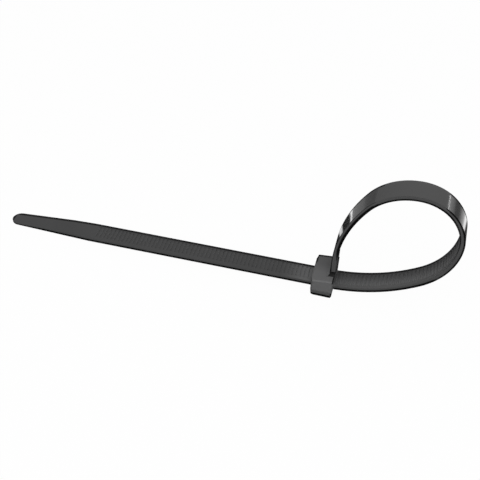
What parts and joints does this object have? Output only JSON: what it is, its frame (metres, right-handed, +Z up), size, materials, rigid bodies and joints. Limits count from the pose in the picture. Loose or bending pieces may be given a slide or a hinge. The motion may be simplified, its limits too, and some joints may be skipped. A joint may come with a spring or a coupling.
{
  "type": "cable tie",
  "caption": "Black one-piece self-locking strap, closed into a teardrop loop through its own toothed-pawl head, with a long straight tail.",
  "frame": {"origin": "centre of the flat base under the head, on the surface that the tie stands on", "axes": "+X along the slot from the tail to the loop, +Y across the strap, +Z up"},
  "size_m": [0.1009, 0.0082, 0.0313],
  "materials": {
    "nylon": "satin moulded nylon"
  },
  "bodies": {
    "root": {"cable_tie": "nylon"}
  },
  "joints": []
}
